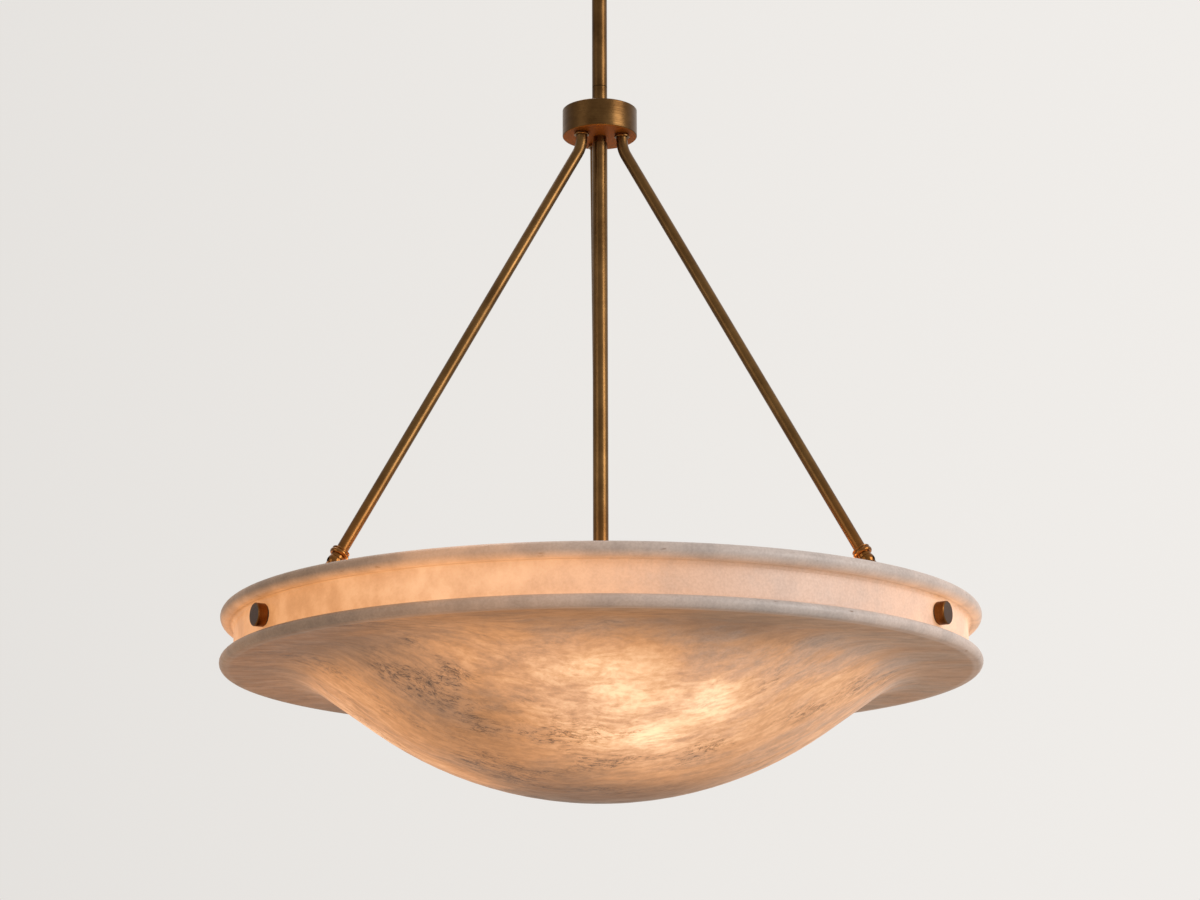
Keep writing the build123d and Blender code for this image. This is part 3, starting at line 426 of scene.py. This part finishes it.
brass = {
    "brightColor": (0.230, 0.122, 0.042, 1),
    "brownColor": (0.052, 0.023, 0.007, 1),
    "glowReflectionColor": (0.270, 0.088, 0.012, 1),
    # painted light: the bowl's warm glow tinted into the metal near the bowl, coming in between these heights
    "paintedGlowTint": (1.22, 0.93, 0.68, 1),
    "paintedGlowHeights": (rimZ + 120 * mm, rimZ + 5 * mm),     # from the one down to the other the tint comes in
    # how closely the drawn lines and the turned rings lie
    "drawnAcross": 520.0, "drawnAlong": 9.0, "ringPitch": 2600.0, "ringWander": 22.0,
    # patterns: scale, detail, roughness
    "lines": (1.0, 3.0, 0.6), "toning": (24.0, 5.0, 0.6), "spots": (240.0, 3.0, 0.6),
    # what each adds to the wear, and the levels at which it browns the metal
    "toningWear": 0.9, "lineWear": 0.5, "spotWear": 0.25, "wearLevels": (0.55, 1.10, -0.35, 0.35),
    "endLevels": (0.80, 0.97),
    "roughness": (0.3, 0.7, 0.24, 0.40), "underRoughness": 0.28,
    "reliefDepth": 0.12 * mm,
}
farBelow = -9.0     # a height below everything


def agedBrassGroup():
    # Axis and Centre say how the piece was worked: along the axis when Turned is 0, in rings when 1.
    # Below the height Under it is matter and carries a painted reflection of the bowl's orange glow; the
    # end-face input darkens the faces square to the axis with painted shade.
    # Near the bowl the lamps' warm glow is painted into the metal's colour as painted light.
    group, wire, entry, leave = newGroup(
        "agedBrass",
        [("Vector", vectorKind, None), ("Axis", vectorKind, None), ("Centre", vectorKind, None),
         ("Turned", floatKind, 0.0), ("Age", floatKind, 0.5), ("Under", floatKind, farBelow),
         ("Polish", floatKind, 0.0), ("Facing", vectorKind, None), ("End Age", floatKind, 0.0)],
        [("Color", colorKind), ("Roughness", floatKind), ("Height", floatKind)])
    offset = wire.vector("SUBTRACT", entry["Vector"], entry["Centre"])
    along = wire.vector("DOT_PRODUCT", offset, entry["Axis"])
    lengthways = wire.scaled(entry["Axis"], along)
    sideways = wire.vector("SUBTRACT", offset, lengthways)
    drawn = wire.vector("ADD", wire.scaled(sideways, brass["drawnAcross"]),
                        wire.scaled(lengthways, brass["drawnAlong"]))
    outwards = wire.math("MULTIPLY", wire.vector("LENGTH", sideways), brass["ringPitch"])
    rings = wire.add("ShaderNodeCombineXYZ", X=outwards,
                     Y=wire.math("MULTIPLY", along, brass["ringPitch"])).outputs[0]
    turned = wire.vector("ADD", rings, wire.scaled(sideways, brass["ringWander"]))
    lines = wire.noise(wire.mixVectors(entry["Turned"], drawn, turned), *brass["lines"])
    toning = wire.noise(entry["Vector"], *brass["toning"])
    spots = wire.noise(entry["Vector"], *brass["spots"])
    worn = wire.weighted((toning, brass["toningWear"]), (lines, brass["lineWear"]),
                         (spots, brass["spotWear"]))
    aged = wire.math("ADD", wire.remap(worn, *brass["wearLevels"], "LINEAR"), entry["Age"], True)
    # painted shade: faces square to the axis are darkened
    square = wire.math("ABSOLUTE", wire.vector("DOT_PRODUCT", entry["Facing"], entry["Axis"]))
    endFace = wire.math("MULTIPLY", wire.remap(square, *brass["endLevels"]), entry["End Age"])
    aged = wire.math("ADD", aged, endFace, True)
    height = wire.add("ShaderNodeSeparateXYZ", Vector=entry["Vector"]).outputs["Z"]
    under = wire.math("LESS_THAN", height, entry["Under"])
    color = wire.mix(aged, brass["brightColor"], brass["brownColor"])
    # painted light: the metal near the bowl takes the lamps' warm glow as colour
    color = wire.mix(wire.remap(height, *brass["paintedGlowHeights"]), color, brass["paintedGlowTint"], "MULTIPLY")
    rough = wire.math("ADD", wire.remap(lines, *brass["roughness"], "LINEAR"),
                      wire.math("MULTIPLY", under, brass["underRoughness"]))
    # painted reflection: below Under the bowl's orange glow is put in as colour
    wire.feed(leave["Color"], wire.mix(under, color, brass["glowReflectionColor"]))
    wire.feed(leave["Roughness"], wire.math("SUBTRACT", rough, entry["Polish"]))
    wire.feed(leave["Height"], lines)
    return group


agedBrass = agedBrassGroup()


def brassMaterial(name, axis=(0, 0, 1), centre=(0, 0, 0), turned=0.0, age=0.5, relief=0.10, under=farBelow,
                  polish=0.0, endShade=0.0):
    material = newMaterial(name)
    wire = Wiring(material.node_tree)
    coordinates = wire.add("ShaderNodeTexCoord").outputs
    look = wire.add("ShaderNodeGroup", {"node_tree": agedBrass}, Axis=axis, Centre=centre, Turned=turned,
                    Age=age, Under=under, Polish=polish, End_Age=endShade,
                    Vector=coordinates["Object"], Facing=coordinates["Normal"]).outputs
    bump = wire.add("ShaderNodeBump", Height=look["Height"], Strength=relief, Distance=brass["reliefDepth"])
    shader = wire.add("ShaderNodeBsdfPrincipled", Base_Color=look["Color"], Roughness=look["Roughness"],
                      Metallic=1.0, Normal=bump.outputs[0])
    return closeMaterial(material, shader)


# pieces on the lamp's own axis: how brown each one is, and up to which height a painted reflection of the
# bowl's glow is put on
tubeAge = {"stem": 0.66, "centre_tube": 0.48}
turnedAge = {"canopy": 0.42, "canopy_ring": 0.45, "swivel_cap": 0.50, "swivel_fork": 0.50,
             "swivel_tongue": 0.50, "stem_coupler": 0.66, "hub_lid": 0.66, "hub_cup": 0.66,
             "tube_neck": 0.60, "cluster_body": 0.50, "cluster_cap": 0.50}
glowReflectionBelow = {"hub_cup": hubBottomZ + 0.3 * mm}
for name, age in tubeAge.items():
    dress(name, brassMaterial(name + "Brass", age=age))
for name, age in turnedAge.items():
    dress(name, brassMaterial(name + "Brass", turned=1.0, age=age, under=glowReflectionBelow.get(name, farBelow)))
dress("swivel_pin", brassMaterial("swivelPinBrass", (1, 0, 0), centreOf("swivel_pin"), turned=1.0))
dress("arm_ferrules", brassMaterial("ferruleBrass", age=0.18, polish=0.12))
dress("knuckle_pins", brassMaterial("knucklePinBrass", age=0.35))

# arms and their lower ends, each worked about its own line
armFinish = {
    # node: its brass, and how that is finished
    "arm_": ("ArmBrass", {"age": 0.50}),
    "arm_collar_": ("CollarBrass", {"turned": 1.0, "age": 0.22, "relief": 0.08, "polish": 0.12}),
    "knuckle_fork_": ("KnuckleBrass", {"turned": 1.0, "age": 0.34, "relief": 0.08, "polish": 0.10}),
}
# the bolts' end faces carry painted shade
boltFinish = {"turned": 1.0, "age": 0.45, "endShade": 0.55}
armTopHeights = (hubBottomZ - 60 * mm, hubBottomZ - 20 * mm)
for side in ("left", "right", "rear"):
    collar = centreOf("arm_collar_" + side)
    bolt = centreOf("rim_bolt_" + side)
    armLine = (middleBetween("arm_" + side, *armTopHeights) - collar).normalized()
    outwards = Vector((bolt.x, bolt.y, 0)).normalized()
    for node, (label, finish) in armFinish.items():
        dress(node + side, brassMaterial(side + label, armLine, collar, **finish))
    dress("rim_bracket_" + side, brassMaterial(side + "BracketBrass", age=0.50))
    dress("rim_bolt_" + side, brassMaterial(side + "BoltBrass", outwards, bolt, **boltFinish))
print("brass dressed")


# the other finishes: one colour drifting to another, with its own fine relief

drifting = {
    # detail and roughness of the drift and of the relief, which is finer by this many times
    "drift": (5.0, 0.6), "fine": (3.0, 0.6), "finer": 9.0,
    "driftLevels": (0.35, 0.65), "fineLevels": (0.3, 0.7),
    "reliefDepth": 0.2 * mm,
}


def driftingGroup():
    group, wire, entry, leave = newGroup(
        "driftingFinish",
        [("Vector", vectorKind, None), ("Scale", floatKind, 60.0), ("First", colorKind, None),
         ("Second", colorKind, None), ("Smoothest", floatKind, 0.3), ("Roughest", floatKind, 0.5)],
        [("Color", colorKind), ("Roughness", floatKind), ("Height", floatKind)])
    drift = wire.noise(entry["Vector"], entry["Scale"], *drifting["drift"])
    fineScale = wire.math("MULTIPLY", entry["Scale"], drifting["finer"])
    fine = wire.noise(entry["Vector"], fineScale, *drifting["fine"])
    drifted = wire.remap(drift, *drifting["driftLevels"])
    wire.feed(leave["Color"], wire.mix(drifted, entry["First"], entry["Second"]))
    wire.feed(leave["Roughness"], wire.remap(fine, *drifting["fineLevels"], entry["Smoothest"],
                                             entry["Roughest"], "LINEAR"))
    wire.feed(leave["Height"], fine)
    return group


driftingFinish = driftingGroup()
finishes = {
    # name: first colour, second colour, scale, smoothest, roughest, metallic, relief, glow
    "zincPlate": ((0.34, 0.34, 0.33, 1), (0.27, 0.27, 0.26, 1), 60.0, 0.40, 0.55, 1.0, 0.10, 0.0),
    "gasketRubber": ((0.045, 0.040, 0.037, 1), (0.060, 0.055, 0.050, 1), 90.0, 0.70, 0.85, 0.0, 0.20, 0.0),
    "holderBlack": ((0.022, 0.021, 0.020, 1), (0.035, 0.033, 0.031, 1), 70.0, 0.38, 0.55, 0.0, 0.15, 0.0),
    "bulbCapMetal": ((0.72, 0.71, 0.68, 1), (0.60, 0.59, 0.56, 1), 120.0, 0.22, 0.36, 1.0, 0.10, 0.0),
    "frostedGlass": ((1.00, 0.66, 0.34, 1), (1.00, 0.60, 0.29, 1), 30.0, 0.35, 0.50, 0.0, 0.02, 13.0),
    "floorPaint": ((0.80, 0.78, 0.75, 1), (0.77, 0.75, 0.72, 1), 1.5, 0.60, 0.80, 0.0, 0.02, 0.0),
}
# what each finish is on
wearers = {
    "zincPlate": ("crossbar", "ground_screw", "nipple_locknut", "canopy_nipple", "arm_nuts", "hub_locknut",
                  "hub_nipple", "stem_nipple", "cluster_nipple", "cluster_locknut", "holder_nipples"),
    "gasketRubber": ("inner_gaskets", "outer_gaskets"),
    "holderBlack": ("lamp_holder_front", "lamp_holder_back", "lamp_holder_side"),
    "bulbCapMetal": ("bulb_base_front", "bulb_base_back", "bulb_base_side"),
    "frostedGlass": ("bulb_glass_front", "bulb_glass_back", "bulb_glass_side"),
}


def finishMaterial(name):
    first, second, scale, smoothest, roughest, metallic, relief, glow = finishes[name]
    material = newMaterial(name)
    wire = Wiring(material.node_tree)
    look = wire.add("ShaderNodeGroup", {"node_tree": driftingFinish}, Scale=scale, First=first, Second=second,
                    Smoothest=smoothest, Roughest=roughest,
                    Vector=wire.add("ShaderNodeTexCoord").outputs["Object"]).outputs
    bump = wire.add("ShaderNodeBump", Height=look["Height"], Strength=relief,
                    Distance=drifting["reliefDepth"])
    shader = wire.add("ShaderNodeBsdfPrincipled", Base_Color=look["Color"], Roughness=look["Roughness"],
                      Metallic=metallic, Normal=bump.outputs[0])
    if glow:
        wire.feed(shader.inputs["Emission Color"], look["Color"])
        wire.feed(shader.inputs["Emission Strength"], glow)
    return closeMaterial(material, shader)


for finish, names in wearers.items():
    material = finishMaterial(finish)
    for name in names:
        dress(name, material)
print("fittings dressed")


# floor, light and camera

room = {
    "floorBelowCeiling": 2.75, "floorSize": 80.0,
    "backdropShade": (0.50, 0.485, 0.465, 1), "backdropPale": (0.88, 0.855, 0.825, 1),
    "dimSide": (0.26, 0.25, 0.24, 1), "brightSide": (0.92, 0.91, 0.89, 1),
    # where the pale and the bright side lie, and the span over which each fades
    "paleFrom": (0.80, 0.35, 0.20), "paleSpan": (-0.80, 0.70),
    "brightFrom": (0.62, -0.66, 0.42), "brightSpan": (-0.55, 0.95),
}

bpy.ops.mesh.primitive_plane_add(size=room["floorSize"], location=(0, 0, -room["floorBelowCeiling"]))
floor = bpy.context.object
floor.name = "paleFloor"
floor.data.materials.append(finishMaterial("floorPaint"))

# a plain pale backdrop, which metal and glass show too; the lamp is lit by a soft room, brighter to
# the front right
world = bpy.data.worlds.new("studio")
bpy.context.scene.world = world
world.use_nodes = True
world.node_tree.nodes.clear()
sky = Wiring(world.node_tree)
rays = sky.add("ShaderNodeLightPath").outputs
direction = sky.add("ShaderNodeTexCoord").outputs["Generated"]
bright = sky.remap(sky.vector("DOT_PRODUCT", direction, room["brightFrom"]), *room["brightSpan"])
pale = sky.remap(sky.vector("DOT_PRODUCT", direction, room["paleFrom"]), *room["paleSpan"])
around = sky.mix(bright, room["dimSide"], room["brightSide"])
backdrop = sky.mix(pale, room["backdropShade"], room["backdropPale"])
seen = sky.math("MAXIMUM", rays["Is Camera Ray"], rays["Is Glossy Ray"])
seen = sky.math("MAXIMUM", seen, rays["Is Transmission Ray"])
background = sky.add("ShaderNodeBackground", Color=sky.mix(seen, around, backdrop), Strength=1.0)
sky.tree.links.new(background.outputs[0], sky.add("ShaderNodeOutputWorld").inputs[0])

lamps = {
    # name: place from the rim's centre, size, power, colour
    "keyRight": ((2.7, -1.6, 1.0), 1.6, 52.0, (1.0, 0.97, 0.94)),
    "fillLeft": ((-2.4, -1.7, 0.5), 1.6, 10.0, (1.0, 0.95, 0.90)),
    "backTop": ((-0.5, 1.2, 2.6), 1.4, 16.0, (1.0, 0.97, 0.94)),
}
litPoint = Vector((0, 0, rimZ + 100 * mm))     # what the lamps are turned to
for name, (place, size, power, tint) in lamps.items():
    data = bpy.data.lights.new(name, "AREA")
    data.shape = "SQUARE"
    data.size = size
    data.energy = power
    data.color = tint
    lamp = bpy.data.objects.new(name, data)
    bpy.context.scene.collection.objects.link(lamp)
    lamp.location = Vector(place) + Vector((0, 0, rimZ))
    lamp.rotation_mode = "QUATERNION"
    lamp.rotation_quaternion = (litPoint - lamp.location).to_track_quat("-Z", "Y")
    lamp.visible_camera = False

cameraView = {"lens": 88.09, "sensor": 36.0, "nearest": 0.05, "farthest": 50.0,
              "distance": 2.3355, "belowRim": 0.4282, "sideways": -0.0005,
              "pitchUp": 13.644, "roll": -0.15}
cameraData = bpy.data.cameras.new("photoCamera")
cameraData.lens = cameraView["lens"]
cameraData.sensor_width = cameraView["sensor"]
cameraData.clip_start = cameraView["nearest"]
cameraData.clip_end = cameraView["farthest"]
camera = bpy.data.objects.new("photoCamera", cameraData)
bpy.context.scene.collection.objects.link(camera)
stand = Matrix.Translation((cameraView["sideways"], -cameraView["distance"], rimZ - cameraView["belowRim"]))
pitch = Matrix.Rotation(math.radians(90 + cameraView["pitchUp"]), 4, "X")
roll = Matrix.Rotation(math.radians(cameraView["roll"]), 4, "Z")
camera.matrix_world = stand @ pitch @ roll
bpy.context.scene.camera = camera
bpy.context.scene.view_settings.view_transform = "Standard"
print("studio and camera ready")
